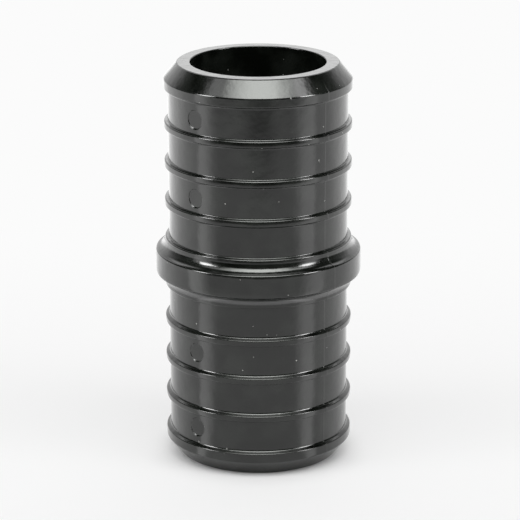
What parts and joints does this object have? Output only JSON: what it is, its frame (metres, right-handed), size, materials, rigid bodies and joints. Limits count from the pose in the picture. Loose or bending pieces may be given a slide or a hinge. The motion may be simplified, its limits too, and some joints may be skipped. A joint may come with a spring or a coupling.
{
  "type": "pex crimp fitting",
  "caption": "Straight plastic coupling for flexible water pipe: a ribbed insert each side of a raised collar, bored straight through, with tapered mouths.",
  "frame": {"origin": "on the bore's axis at the middle of the collar", "axes": "+Z along the bore, towards the upper insert; -Y towards the side with the ejector pin marks; the mould's parting line at +X and -X"},
  "size_m": [0.0242, 0.0242, 0.0474],
  "materials": {
    "black_plastic": "black moulded plastic with a satin gloss"
  },
  "bodies": {
    "root": {"coupling_body": "black_plastic"}
  },
  "joints": []
}
